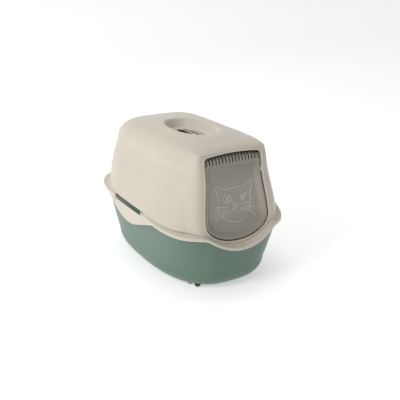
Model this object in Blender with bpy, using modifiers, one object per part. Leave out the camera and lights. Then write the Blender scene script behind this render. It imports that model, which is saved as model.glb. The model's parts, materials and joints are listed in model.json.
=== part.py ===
"""Hooded cat litter box: tray, hood, swing door, two side latches, odour filter and its holder.

Metres, +Z up. X is the width, Y the length with the door towards -Y. The origin is on the surface
the box stands on, under the middle of the rim.
"""
import math
from collections import namedtuple

import bmesh
import bpy
import numpy as np
from mathutils import Matrix, Vector

# ---------------------------------------------------------------- overall sizes
WIDTH = 0.391            # across the hood's rim
LENGTH = 0.5825          # along the hood's rim
HEIGHT = 0.3895          # floor to the top of the roof
RIM_HEIGHT = 0.186       # floor to the rim's lower edge, along the sides
WALL = 0.0025            # moulded wall of tray and hood
RING_POINTS = 56         # points round every lofted section

# ---------------------------------------------------------------- rim
RIM_CORNER = 3.28        # exponent of the rim's plan, 2 is an ellipse
RIM_SKIRT = 0.008        # upright part of the rim
RIM_SHOULDER = 0.0045    # rise from the skirt to the foot of the wall
FRONT_FALL = 0.0214      # the rim comes down this much from the middle to the front
FALL_START = 0.056       # distance in front of the middle where it starts to fall
FALL_RUN = 0.20
DIP_DEPTH = 0.0413       # the swoop under the door
DIP_HALF = 0.1035
DIP_SOFTNESS = 0.12
APRON_DEPTH = 0.045      # half-moon hanging from the rim at each latch
APRON_HALF = 0.140
APRON_FULLNESS = 1.2
APRON_START = 0.6        # share of the half width where the apron begins, away from the rounded ends
APRON_RUN = 0.25         # share over which it grows to full depth

# ---------------------------------------------------------------- hood wall and roof
LEDGE_SIDE = 0.005
LEDGE_FRONT = 0.0261
LEDGE_REAR = 0.0361
FOOT_CORNER_FRONT = 3.12
FOOT_CORNER_REAR = 2.91
TAPER_SIDE = 0.0493
TAPER_FRONT = 0.0313
TAPER_REAR = 0.0263
ROOF_CORNER_FRONT = 3.96
ROOF_CORNER_REAR = 4.98
ROOF_FILLET_HIGH = 0.0561
ROOF_FILLET_WIDE = 0.0539
ROOF_CROWN = 0.0071
WALL_BULGE = 0.0018

# ---------------------------------------------------------------- tray
TRAY_INSET_SIDE = 0.0142     # rim to the tray's wall, at the top
TRAY_INSET_FRONT = 0.0187
TRAY_INSET_REAR = 0.0246
TRAY_CORNER = 3.78
FLARE_SIDE = 0.0168          # how far the wall comes in from top to base
FLARE_FRONT = 0.0118
FLARE_REAR = 0.0107
BASE_CORNER = 2.7
BASE_FILLET = 0.048
LIP_GAP = 0.0018             # inside of the hood's skirt to the tray's lip, front and rear
LIP_SIDE_INSET = 0.008       # the lip keeps clear of the latches' hinges
LIP_SEAT = 0.0005            # clearance under the hood's ledge
LIP_ABOVE_SKIRT = 0.0006     # the lip's edge ends this far above the rim's lower edge
FOOT_HEIGHT = 0.004
FOOT_RADIUS = 0.009
FOOT_BITE = 0.9              # share of the tray's wall that a foot reaches into
FOOT_PLACES = ((0.094, 0.178), (0.086, 0.203))
LUG_RISE = 0.005             # the tray's lug behind each latch stands above the lip
LUG_INSET = 0.0006           # lug behind the lip's edge

# ---------------------------------------------------------------- door
DOOR_LEAN = math.radians(10.87)
LAND_SETBACK = 0.0048        # door plane behind the foot of the front wall
LAND_MARGIN = 0.008          # flat land round the opening
LAND_FADE = 0.036
SILL_RISE = 0.0072           # opening's lowest point above the foot of the wall
DOOR_TOP_DROP = 0.0232       # opening's highest point under the roof
DOOR_TOP_HALF = 0.0857
DOOR_WIDE_HALF = 0.0973
DOOR_WIDE_RISE = 0.0551      # widest point above the sill, along the door
DOOR_ARCH = 0.0064
DOOR_CORNER = 0.012
WAIST_RUN = 0.74             # share of the side over which it narrows
DOORWAY_REACH = 0.03         # the doorway's cut starts this far in front of the door plane
DOORWAY_BEHIND = 0.02        # and ends this far behind the wall
DOOR_GAP = 0.0025
FLAP_SETBACK = 0.003         # flap's front behind the door plane
FLAP_THICKNESS = 0.0022
FLAP_BAND = 0.011            # raised band round the recessed panel
FLAP_SLOPE = 0.005
FLAP_RECESS = 0.008
FLAP_EDGE = 0.0012           # softened outer edge
FLAP_CORNER = 0.004
BARREL_RADIUS = 0.016        # rolled top of the flap, round the hinge axis
BARREL_START = math.radians(-22)
BARREL_END = math.radians(112)
BARREL_STEPS = 9
CHEEK = 0.003
CHEEK_INSET = 0.0001         # cheek inside the end of the barrel
PIN_RADIUS = 0.003
PIN_REACH = 0.0072
SOCKET_OFFSET = 0.0018       # socket plate beside the opening's edge
SOCKET_THICKNESS = 0.004
SOCKET_WALL = 0.0035
SOCKET_TAIL = 0.003          # the plate reaches this much further down
SOCKET_MOUTH = 0.8           # height of the slot the pin snaps in through, as a share of the pin
COMB_SLOTS = 17
COMB_SLOT_WIDTH = 0.0042
COMB_PITCH = 0.0094
COMB_LOW = 0.25              # slots' lower, upper and rear ends as shares of the barrel's radius
COMB_HIGH = 0.9
COMB_REAR = 0.2

# ---------------------------------------------------------------- latches
LATCH_CENTRE = -0.008
LATCH_HALF = 0.085
LATCH_FACE_INSET = 0.0004    # latch face behind the rim's
LATCH_THICKNESS = 0.0025
LATCH_ARM = 0.006
LATCH_SLOT = 0.0135          # slot between the arms, from the foot of the wall down
LATCH_SIDE_GAP = 0.0015
KNUCKLE_RADIUS = 0.0022
KNUCKLE_SIDE = 0.0002        # knuckle inside each side of its arm
KNUCKLE_BELOW_FOOT = 0.0054
LATCH_CUT_MARGIN = 0.0006    # the cut-out reaches this far into the wall
KNUCKLE_COVER = 0.0003       # arm's face proud of the knuckle
LATCH_PIN_RADIUS = 0.0011
LATCH_PIN_REACH = 0.0036
BOSS_LENGTH = 0.005
BOSS_WALL = 0.0009
BOSS_SINK = 0.35             # share of the skirt's wall that the boss leaves uncovered
PIN_CLEARANCE = 0.0004

# ---------------------------------------------------------------- handle well, vents and filter
WELL_CENTRE = -0.021
WELL_HALF_WIDTH = 0.062
WELL_HALF_LENGTH = 0.105
WELL_DEPTH = 0.024
WELL_CORNER = 2.3
WELL_SLOPE = 0.022           # width of the well's sloping wall
WELL_DISH = 0.003
VENT_WIDE = 0.016            # middle vent slot
VENT_NARROW = 0.007
VENT_BAR = 0.0115            # bar between two slots
VENT_PAIRS = 1               # narrow slots each side of the middle one
VENT_LONG = 0.9              # slot's length as a share of the oval at its place
VENT_LIMIT = 0.98            # outermost place of a slot, as a share of the oval's half width
COLLAR_INSET = 0.006         # well floor's edge to the filter collar
COLLAR_WALL = 0.002
PAD_GAP = 0.001
PAD_THICKNESS = 0.008
HOLDER_WALL = 0.002
HOLDER_GAP = 0.0005
HOLDER_RIM = 0.7             # share of the collar that the holder's wall covers
HOLDER_SLOTS = 5
HOLDER_SLOT_WIDTH = 0.006
HOLDER_SLOT_LONG = 0.86      # slot's length as a share of the oval at its place

Plan = namedtuple("Plan", "half_width front rear corner_front corner_rear")


def inset(plan, side, front, rear, corner_front, corner_rear):
    """The plan that lies inside another one."""
    return Plan(plan.half_width - side, plan.front + front, plan.rear - rear, corner_front, corner_rear)


RIM = Plan(WIDTH / 2, -LENGTH / 2, LENGTH / 2, RIM_CORNER, RIM_CORNER)
FOOT = inset(RIM, LEDGE_SIDE, LEDGE_FRONT, LEDGE_REAR, FOOT_CORNER_FRONT, FOOT_CORNER_REAR)
ROOF = inset(FOOT, TAPER_SIDE, TAPER_FRONT, TAPER_REAR, ROOF_CORNER_FRONT, ROOF_CORNER_REAR)
LIP = inset(RIM, LIP_SIDE_INSET, WALL + LIP_GAP, WALL + LIP_GAP, RIM_CORNER, RIM_CORNER)
TRAY_TOP = inset(RIM, TRAY_INSET_SIDE, TRAY_INSET_FRONT, TRAY_INSET_REAR, TRAY_CORNER, TRAY_CORNER)
TRAY_BASE = inset(TRAY_TOP, FLARE_SIDE, FLARE_FRONT, FLARE_REAR, BASE_CORNER, BASE_CORNER)

FOOT_RISE = RIM_SKIRT + RIM_SHOULDER
FOOT_LEVEL = RIM_HEIGHT + FOOT_RISE
ROOF_EDGE = HEIGHT - ROOF_CROWN - ROOF_FILLET_HIGH
SILL = FOOT_LEVEL - FRONT_FALL - DIP_DEPTH + SILL_RISE
DOOR_TALL = (HEIGHT - DOOR_TOP_DROP - SILL) / math.cos(DOOR_LEAN)
PLANE_AT_SILL = FOOT.front + LAND_SETBACK - (FOOT_LEVEL - SILL) * math.tan(DOOR_LEAN)
HINGE_HEIGHT = DOOR_TALL - DOOR_GAP - BARREL_RADIUS      # along the door, above the sill
HINGE_DEPTH = FLAP_SETBACK + BARREL_RADIUS               # behind the door plane
DOOR_PLACE = Matrix.Translation((0, PLANE_AT_SILL, SILL)) @ Matrix.Rotation(-DOOR_LEAN, 4, "X")
HINGE_PLACE = DOOR_PLACE @ Matrix.Translation((0, HINGE_DEPTH, HINGE_HEIGHT))

WELL_FLOOR_HALF_WIDTH = WELL_HALF_WIDTH - WELL_SLOPE
WELL_FLOOR_HALF_LENGTH = WELL_HALF_LENGTH - WELL_SLOPE
WELL_FLOOR_LEVEL = HEIGHT - WELL_DEPTH
COLLAR_TOP = WELL_FLOOR_LEVEL - WALL / 2
FLOOR_UNDERSIDE = WELL_FLOOR_LEVEL - WELL_DISH - WALL
COLLAR_DEPTH = PAD_GAP + PAD_THICKNESS

COLOURS = {
    "sage_green": ("6F8577", 0.42),
    "cappuccino": ("D8D0C2", 0.36),
    "smoke_grey": ("7D7971", 0.22),
    "charcoal": ("1C1C1D", 0.95),
}


# ---------------------------------------------------------------- scene helpers
def clear_scene():
    for old in list(bpy.data.objects):
        bpy.data.objects.remove(old, do_unlink=True)


def collection(name):
    made = bpy.data.collections.new(name)
    bpy.context.scene.collection.children.link(made)
    return made


def linear(hex_colour):
    """sRGB hex to the linear colour that a shader takes."""
    channels = [int(hex_colour[i:i + 2], 16) / 255 for i in (0, 2, 4)]
    return [c / 12.92 if c <= 0.04045 else ((c + 0.055) / 1.055) ** 2.4 for c in channels] + [1.0]


def plastic(name):
    colour, roughness = COLOURS[name]
    made = bpy.data.materials.get(name) or bpy.data.materials.new(name)
    made.use_nodes = True
    shader = made.node_tree.nodes["Principled BSDF"]
    shader.inputs["Base Color"].default_value = linear(colour)
    shader.inputs["Roughness"].default_value = roughness
    shader.inputs["Metallic"].default_value = 0.0
    return made


def add_object(name, bm, home, finish=None):
    """Turn a bmesh into a named object in a collection."""
    mesh = bpy.data.meshes.new(name)
    bm.to_mesh(mesh)
    bm.free()
    made = bpy.data.objects.new(name, mesh)
    home.objects.link(made)
    if finish:
        mesh.materials.append(plastic(finish))
        mesh.shade_smooth()
        mesh.set_sharp_from_angle(angle=math.radians(35))
    return made


def add_tool(name, bm, home):
    """A hidden helper solid for a Boolean."""
    made = add_object(name, bm, home)
    made.hide_render = True
    made.display_type = "WIRE"
    return made


def thicken(target, thickness):
    """Give an open surface its wall, on the side away from its normals."""
    shell = target.modifiers.new("wall", "SOLIDIFY")
    shell.thickness = thickness
    shell.offset = -1
    shell.use_even_offset = True


def combine(target, tool, operation, overlapping=False):
    """Boolean with a helper, whose own solids may overlap each other."""
    step = target.modifiers.new(tool.name, "BOOLEAN")
    step.operation = operation
    step.solver = "EXACT"
    step.use_self = overlapping
    step.object = tool


# ---------------------------------------------------------------- solids for helpers
def add_box(bm, low, high, place=Matrix.Identity(4)):
    low, high = Vector(low), Vector(high)
    size = high - low
    scale = Matrix.Diagonal((size.x, size.y, size.z, 1))
    bmesh.ops.create_cube(bm, size=1, matrix=place @ Matrix.Translation((low + high) / 2) @ scale)


def add_rod(bm, centre, axis, radius, length, sides=16, place=Matrix.Identity(4)):
    turn = Vector((0, 0, 1)).rotation_difference(Vector(axis)).to_matrix().to_4x4()
    bmesh.ops.create_cone(bm, cap_ends=True, segments=sides, radius1=radius, radius2=radius,
                          depth=length, matrix=place @ Matrix.Translation(centre) @ turn)


def add_prism(bm, points, along):
    """Extrude a flat outline by a vector."""
    count = len(points)
    start = [bm.verts.new(p) for p in points]
    end = [bm.verts.new(Vector(p) + Vector(along)) for p in points]
    faces = [bm.faces.new(start), bm.faces.new(end)]
    for i in range(count):
        j = (i + 1) % count
        faces.append(bm.faces.new((start[i], start[j], end[j], end[i])))
    bmesh.ops.recalc_face_normals(bm, faces=faces)


def add_loft(bm, rings, closed_start=False, closed_end=False):
    """Skin closed rings of points; an end closes on its middle point."""
    rows = [[bm.verts.new(p) for p in ring] for ring in rings]
    count = len(rows[0])
    for lower, upper in zip(rows, rows[1:]):
        for i in range(count):
            j = (i + 1) % count
            bm.faces.new((lower[i], lower[j], upper[j], upper[i]))
    for row, closed, turned in ((rows[0], closed_start, True), (rows[-1], closed_end, False)):
        if not closed:
            continue
        middle = bm.verts.new(sum((v.co for v in row), Vector()) / count)
        for i in range(count):
            j = (i + 1) % count
            bm.faces.new((middle, row[j], row[i]) if turned else (middle, row[i], row[j]))


# ---------------------------------------------------------------- the box's shape
def power(value, exponent):
    return math.copysign(abs(value) ** exponent, value)


def plan_point(plan, angle):
    """A point of the plan |x/a|^n + |y/b|^n = 1; angle 0 is the front, growing towards +X."""
    corner = plan.corner_front if math.cos(angle) > 0 else plan.corner_rear
    middle = (plan.front + plan.rear) / 2
    half_length = (plan.rear - plan.front) / 2
    return (plan.half_width * power(math.sin(angle), 2 / corner),
            middle - half_length * power(math.cos(angle), 2 / corner))


def ring_angles():
    """Angles that space the points evenly along the rim."""
    fine = np.linspace(0, 2 * math.pi, 1441)
    points = np.array([plan_point(RIM, a) for a in fine])
    run = np.concatenate(([0], np.cumsum(np.hypot(*np.diff(points, axis=0).T))))
    return np.interp(np.linspace(0, run[-1], RING_POINTS, endpoint=False), run, fine)


ANGLES = ring_angles()


def rim_side(y):
    """Half width of the rim at a place along the box."""
    return RIM.half_width * (1 - abs(y / RIM.rear) ** RIM_CORNER) ** (1 / RIM_CORNER)


def latch_face(y):
    return rim_side(y) - LATCH_FACE_INSET


def ease(share):
    """Smooth step from 0 to 1."""
    share = min(max(share, 0.0), 1.0)
    return share * share * (3 - 2 * share)


def rim_drop(x, y):
    """How far the rim lies below its level along the sides: a gentle fall, then a U under the door."""
    fall = FRONT_FALL * ease((-y - FALL_START) / FALL_RUN)
    hump = 1 - (x / DIP_HALF) ** 2
    dip = DIP_DEPTH * (hump + math.hypot(hump, DIP_SOFTNESS)) / 2 if y < 0 and abs(x) < 2 * DIP_HALF else 0
    return fall + dip * ease(-y / FALL_RUN)


def rim_level(x, y):
    return RIM_HEIGHT - rim_drop(x, y)


def apron(y):
    """Depth of the half-moon that hangs from the rim at a latch."""
    share = abs(y - LATCH_CENTRE) / APRON_HALF
    return APRON_DEPTH * math.cos(share * math.pi / 2) ** APRON_FULLNESS if share < 1 else 0


def skirt_edge(x, y):
    beside = ease((abs(x) / RIM.half_width - APRON_START) / APRON_RUN)
    return rim_level(x, y) - apron(y) * beside


def side_foot_level(y):
    """Foot of the hood's wall along the sides."""
    return FOOT_LEVEL - rim_drop(FOOT.half_width, y)


def shoulder_level(x, y):
    """Top of the rim's sloping shoulder along the sides."""
    foot = FOOT.half_width * (1 - abs((y - (FOOT.front + FOOT.rear) / 2)
                                      / ((FOOT.rear - FOOT.front) / 2)) ** FOOT_CORNER_FRONT) ** (
                                          1 / FOOT_CORNER_FRONT)
    share = (rim_side(y) - x) / (rim_side(y) - foot)
    return side_foot_level(y) - RIM_SHOULDER * (1 - share)


LATCH_AXIS_X = latch_face(LATCH_CENTRE - LATCH_HALF) - KNUCKLE_COVER - KNUCKLE_RADIUS
LATCH_AXIS_Z = side_foot_level(LATCH_CENTRE - LATCH_HALF) - KNUCKLE_BELOW_FOOT


def mix(a, b, share):
    return a + (b - a) * share


def hood_plan(z):
    """The hood's plan at a height: tapering wall, then the rounded roof edge."""
    share = (z - FOOT_LEVEL) / (ROOF_EDGE - FOOT_LEVEL)
    bulge = WALL_BULGE * math.sin(math.pi * min(max(share, 0), 1))
    share = min(share, 1)
    roll = math.asin(min(max((z - ROOF_EDGE) / ROOF_FILLET_HIGH, 0), 1))
    pull = ROOF_FILLET_WIDE * (1 - math.cos(roll)) - bulge
    return Plan(*(mix(low, high, share) + shift for low, high, shift in
                  zip(FOOT, ROOF, (-pull, pull, -pull, 0, 0))))


def door_half_width(height, margin=0.0):
    """Half width of the door opening at a height along the door, above the sill."""
    if height < DOOR_WIDE_RISE:
        drop = min((DOOR_WIDE_RISE - height) / (DOOR_WIDE_RISE - margin), 1)
        return (DOOR_WIDE_HALF - margin) * math.sqrt(1 - drop * drop)
    side = DOOR_TALL - DOOR_ARCH - DOOR_WIDE_RISE
    share = min((height - DOOR_WIDE_RISE) / (side * WAIST_RUN), 1)
    return DOOR_WIDE_HALF - margin + (DOOR_TOP_HALF - DOOR_WIDE_HALF) * (1 - math.cos(math.pi * share)) / 2


def door_plane(z):
    return PLANE_AT_SILL + (z - SILL) * math.tan(DOOR_LEAN)


def land_share(x, z):
    """1 on the flat land round the door, 0 away from it."""
    height = (z - SILL) / math.cos(DOOR_LEAN)
    width = max(door_half_width(max(height, DOOR_WIDE_RISE)), DOOR_TOP_HALF)
    across = ease((width + LAND_MARGIN + LAND_FADE - abs(x)) / LAND_FADE)
    top = HEIGHT - ROOF_CROWN
    above = ease((top - z) / (DOOR_TOP_DROP - ROOF_CROWN - LAND_MARGIN / 2))
    return across * above


def hood_point(angle, z):
    """A point of the hood's outer wall at a height."""
    x, y = plan_point(hood_plan(z), angle)
    if y < 0:
        y = mix(y, door_plane(z), land_share(x, z))
    return x, y, z


def arc(steps):
    return [math.pi / 2 * (i + 1) / steps for i in range(steps)]


# ---------------------------------------------------------------- tray
def tray_rings():
    """From the middle of the cavity's floor, up the wall, over the lip and down its edge."""
    rings = []
    base = inset(TRAY_BASE, WALL, WALL, WALL, BASE_CORNER, BASE_CORNER)
    floor = FOOT_HEIGHT + WALL
    top_level = RIM_SKIRT - WALL - LIP_SEAT
    roll = BASE_FILLET - WALL
    for turn in [0.0] + arc(5):
        pull = roll * (1 - math.sin(turn))
        plan = inset(base, pull, pull, pull, BASE_CORNER, BASE_CORNER)
        rings.append([(*plan_point(plan, a), floor + roll * (1 - math.cos(turn))) for a in ANGLES])
    start = floor + roll
    for share in (0.35, 0.7, 1.0):
        plan = Plan(*(mix(low, high, share) for low, high in zip(
            base, inset(TRAY_TOP, WALL, WALL, WALL, TRAY_CORNER, TRAY_CORNER))))
        points = [plan_point(plan, a) for a in ANGLES]
        rings.append([(x, y, mix(start, rim_level(x, y) + top_level, share)) for x, y in points])
    edge = [plan_point(LIP, a) for a in ANGLES]
    rings.append([(x, y, rim_level(x, y) + top_level) for x, y in edge])
    rings.append([(x, y, rim_level(x, y) + LIP_ABOVE_SKIRT) for x, y in edge])
    return rings


def make_tray(home, tools):
    bm = bmesh.new()
    add_loft(bm, tray_rings(), closed_start=True)
    bmesh.ops.reverse_faces(bm, faces=bm.faces)
    tray = add_object("tray", bm, home, "sage_green")
    thicken(tray, WALL)
    extras = bmesh.new()
    foot = FOOT_HEIGHT + FOOT_BITE * WALL
    for side in (-1, 1):
        for x, y in FOOT_PLACES:
            for end in (-1, 1):
                add_rod(extras, (side * x, end * y, foot / 2), (0, 0, 1), FOOT_RADIUS, foot, sides=20)
        lip_top = RIM_HEIGHT + RIM_SKIRT - WALL - LIP_SEAT
        reach = LATCH_HALF - 2 * LATCH_ARM
        outer = rim_side(LATCH_CENTRE - reach) - WALL - LIP_GAP - LUG_INSET
        xs = sorted((side * outer, side * (outer - WALL)))
        add_box(extras, (xs[0], LATCH_CENTRE - reach, lip_top - WALL / 2),
                (xs[1], LATCH_CENTRE + reach, lip_top + LUG_RISE))
    combine(tray, add_tool("tray_feet_and_lugs", extras, tools), "UNION")
    return tray


# ---------------------------------------------------------------- hood
def hood_rings():
    """From the rim's lower edge up the wall, over the roof and down into the handle well."""
    rim = [plan_point(RIM, a) for a in ANGLES]
    rings = [[(x, y, mix(skirt_edge(x, y), rim_level(x, y) + RIM_SKIRT, share)) for x, y in rim]
             for share in (0.0, 0.5, 1.0)]
    drops = [rim_drop(*plan_point(FOOT, a)) for a in ANGLES]
    for share in (0.0, 0.25, 0.5, 0.75, 1.0):
        rings.append([hood_point(a, mix(FOOT_LEVEL - drop, ROOF_EDGE, share))
                      for a, drop in zip(ANGLES, drops)])
    for turn in arc(5):
        z = ROOF_EDGE + ROOF_FILLET_HIGH * math.sin(turn)
        rings.append([hood_point(a, z) for a in ANGLES])
    return rings + well_rings(rings[-1])


def well_outline(half_width, half_length):
    plan = Plan(half_width, WELL_CENTRE - half_length, WELL_CENTRE + half_length, WELL_CORNER, WELL_CORNER)
    return [plan_point(plan, a) for a in ANGLES]


def well_rings(roof_ring):
    brim = well_outline(WELL_HALF_WIDTH, WELL_HALF_LENGTH)
    rings = []
    for share in (0.5, 1.0):
        level = HEIGHT - ROOF_CROWN * (1 - share) ** 2
        rings.append([(mix(p[0], q[0], share), mix(p[1], q[1], share), level)
                      for p, q in zip(roof_ring, brim)])
    for share in (0.25, 0.5, 0.75, 1.0):
        pull = WELL_SLOPE * share
        level = HEIGHT - WELL_DEPTH * (1 - math.cos(math.pi * share)) / 2
        rings.append([(x, y, level) for x, y in
                      well_outline(WELL_HALF_WIDTH - pull, WELL_HALF_LENGTH - pull)])
    half = well_outline(WELL_FLOOR_HALF_WIDTH / 2, WELL_FLOOR_HALF_LENGTH / 2)
    rings.append([(x, y, WELL_FLOOR_LEVEL - WELL_DISH) for x, y in half])
    return rings


def door_outline(margin, top, arch, corner):
    """Points (x, height) of the opening, or of what fits in it, from the bottom round to the bottom."""
    half = []
    for i in range(9):
        turn = math.pi / 2 * i / 8
        half.append(((DOOR_WIDE_HALF - margin) * math.sin(turn),
                     DOOR_WIDE_RISE - (DOOR_WIDE_RISE - margin) * math.cos(turn)))
    inner = DOOR_TOP_HALF - margin - corner
    side_top = top - arch * (inner / DOOR_TOP_HALF) ** 2 - corner
    for i in range(1, 6):
        height = mix(DOOR_WIDE_RISE, side_top, i / 5)
        half.append((door_half_width(height, margin), height))
    for turn in arc(3):
        half.append((inner + corner * math.cos(turn), side_top + corner * math.sin(turn)))
    for share in (0.6, 0.3):
        half.append((inner * share, top - arch * (inner * share / DOOR_TOP_HALF) ** 2))
    other = [(-x, height) for x, height in reversed(half[1:])]
    return half + [(0, top)] + other


def add_vents(bm, low, high):
    """Lengthwise slots through the well's floor."""
    centres = [0.0] + [side * (VENT_WIDE / 2 + VENT_BAR + VENT_NARROW / 2 + i * (VENT_BAR + VENT_NARROW))
                       for i in range(VENT_PAIRS) for side in (-1, 1)]
    across = WELL_FLOOR_HALF_WIDTH - COLLAR_INSET - COLLAR_WALL
    along = WELL_FLOOR_HALF_LENGTH - COLLAR_INSET - COLLAR_WALL
    for centre in centres:
        half = (VENT_NARROW if centre else VENT_WIDE) / 2
        edge = min(abs(centre) + half, VENT_LIMIT * across)
        reach = along * VENT_LONG * (1 - (edge / across) ** WELL_CORNER) ** (1 / WELL_CORNER)
        add_box(bm, (centre - half, WELL_CENTRE - reach, low), (centre + half, WELL_CENTRE + reach, high))


def collar_rings(half_width, half_length, levels):
    return [[(x, y, z) for x, y in well_outline(half_width, half_length)] for z in levels]


def add_tube(bm, half_width, half_length, wall, low, high):
    """An upright oval tube."""
    outer = collar_rings(half_width, half_length, (low, high))
    inner = collar_rings(half_width - wall, half_length - wall, (high, low))
    add_loft(bm, outer + inner + [outer[0]])
    bmesh.ops.remove_doubles(bm, verts=bm.verts, dist=1e-6)


def latch_boss_reach(y):
    """Inner and outer X of a boss that carries a latch's pin, up to inside the skirt's wall."""
    return LATCH_AXIS_X - LATCH_PIN_RADIUS - PIN_CLEARANCE - BOSS_WALL, rim_side(y) - WALL * BOSS_SINK


def hood_additions():
    """Hinge sockets, latch bosses and the filter collar, moulded inside the hood."""
    bm = bmesh.new()
    add_tube(bm, WELL_FLOOR_HALF_WIDTH - COLLAR_INSET, WELL_FLOOR_HALF_LENGTH - COLLAR_INSET,
             COLLAR_WALL, FLOOR_UNDERSIDE - COLLAR_DEPTH, COLLAR_TOP)
    plate = DOOR_TOP_HALF + SOCKET_OFFSET
    reach = PIN_RADIUS + PIN_CLEARANCE + SOCKET_WALL
    for side in (-1, 1):
        xs = sorted((side * plate, side * (plate + SOCKET_THICKNESS)))
        add_box(bm, (xs[0], WALL / 2, HINGE_HEIGHT - reach - SOCKET_TAIL),
                (xs[1], HINGE_DEPTH + reach, HINGE_HEIGHT + reach), DOOR_PLACE)
        for end in (-1, 1):
            inner = LATCH_CENTRE + end * (LATCH_HALF - LATCH_SIDE_GAP)
            outer = LATCH_CENTRE + end * (LATCH_HALF + LATCH_SIDE_GAP + BOSS_LENGTH)
            low = LATCH_AXIS_Z - LATCH_PIN_RADIUS - PIN_CLEARANCE - BOSS_WALL
            near, far = latch_boss_reach(outer)
            outline = ((near, low), (far, low), (far, shoulder_level(far, outer) - WALL / 2),
                       (near, shoulder_level(near, outer) - WALL / 2))
            add_prism(bm, [(side * x, inner, z) for x, z in outline], (0, outer - inner, 0))
    return bm


def hood_openings():
    """Doorway, latch cut-outs and vent slots."""
    bm = bmesh.new()
    outline = door_outline(0, DOOR_TALL, DOOR_ARCH, DOOR_CORNER)
    front = DOOR_PLACE @ Matrix.Translation((0, -DOORWAY_REACH, 0))
    back = DOOR_PLACE.to_3x3() @ Vector((0, DOORWAY_REACH + WALL + DOORWAY_BEHIND, 0))
    add_prism(bm, [front @ Vector((x, 0, height)) for x, height in outline], back)
    for side in (-1, 1):
        xs = sorted((side * (FOOT.half_width - 4 * WALL), side * (RIM.half_width + 0.01)))
        reach = LATCH_HALF + LATCH_SIDE_GAP
        low = RIM_HEIGHT - 2 * APRON_DEPTH
        tops = [(y, side_foot_level(y) + LATCH_CUT_MARGIN)
                for y in np.linspace(LATCH_CENTRE + reach, LATCH_CENTRE - reach, 6)]
        outline = [(LATCH_CENTRE - reach, low), (LATCH_CENTRE + reach, low)] + tops
        add_prism(bm, [(xs[0], y, z) for y, z in outline], (xs[1] - xs[0], 0, 0))
    add_vents(bm, FLOOR_UNDERSIDE - WALL, WELL_FLOOR_LEVEL + WALL)
    return bm


def pin_holes():
    """Sockets for the door's pins, each with a mouth behind it, and for the latches' pins."""
    bm = bmesh.new()
    radius = PIN_RADIUS + PIN_CLEARANCE
    mouth = PIN_RADIUS * SOCKET_MOUTH
    for side in (-1, 1):
        middle = side * (DOOR_TOP_HALF + SOCKET_OFFSET + SOCKET_THICKNESS / 2)
        add_rod(bm, (middle, HINGE_DEPTH, HINGE_HEIGHT), (1, 0, 0), radius, 2 * SOCKET_THICKNESS,
                place=DOOR_PLACE)
        add_box(bm, (middle - SOCKET_THICKNESS, HINGE_DEPTH, HINGE_HEIGHT - mouth),
                (middle + SOCKET_THICKNESS, HINGE_DEPTH + DOORWAY_BEHIND, HINGE_HEIGHT + mouth), DOOR_PLACE)
        for end in (-1, 1):
            y = LATCH_CENTRE + end * (LATCH_HALF + LATCH_SIDE_GAP + BOSS_LENGTH / 2 - BOSS_WALL)
            add_rod(bm, (side * LATCH_AXIS_X, y, LATCH_AXIS_Z), (0, 1, 0),
                    LATCH_PIN_RADIUS + PIN_CLEARANCE, BOSS_LENGTH, sides=12)
    return bm


def make_hood(home, tools):
    bm = bmesh.new()
    add_loft(bm, hood_rings(), closed_end=True)
    hood = add_object("hood", bm, home, "cappuccino")
    thicken(hood, WALL)
    combine(hood, add_tool("hood_additions", hood_additions(), tools), "UNION")
    combine(hood, add_tool("hood_openings", hood_openings(), tools), "DIFFERENCE")
    combine(hood, add_tool("pin_holes", pin_holes(), tools), "DIFFERENCE", overlapping=True)
    return hood


# ---------------------------------------------------------------- door
def flap_rings():
    """Band and recessed panel of the flap, in the door's own axes round the hinge."""
    rings = []
    steps = ((0, FLAP_EDGE), (FLAP_EDGE, 0), (FLAP_BAND, 0), (FLAP_BAND + FLAP_SLOPE, FLAP_RECESS))
    for pull, depth in steps:
        margin = DOOR_GAP + pull
        outline = door_outline(margin, HINGE_HEIGHT - pull, 0, FLAP_CORNER)
        rings.append([(x, depth - BARREL_RADIUS, height - HINGE_HEIGHT) for x, height in outline])
    return rings


def barrel_rows():
    """The rolled top edge: rows of points from under the axis to behind it."""
    half = DOOR_TOP_HALF - DOOR_GAP
    rows = []
    for turn in np.linspace(BARREL_START, BARREL_END, BARREL_STEPS + 1):
        y, z = -BARREL_RADIUS * math.cos(turn), BARREL_RADIUS * math.sin(turn)
        rows.append([(-half, y, z), (half, y, z)])
    return rows


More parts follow.
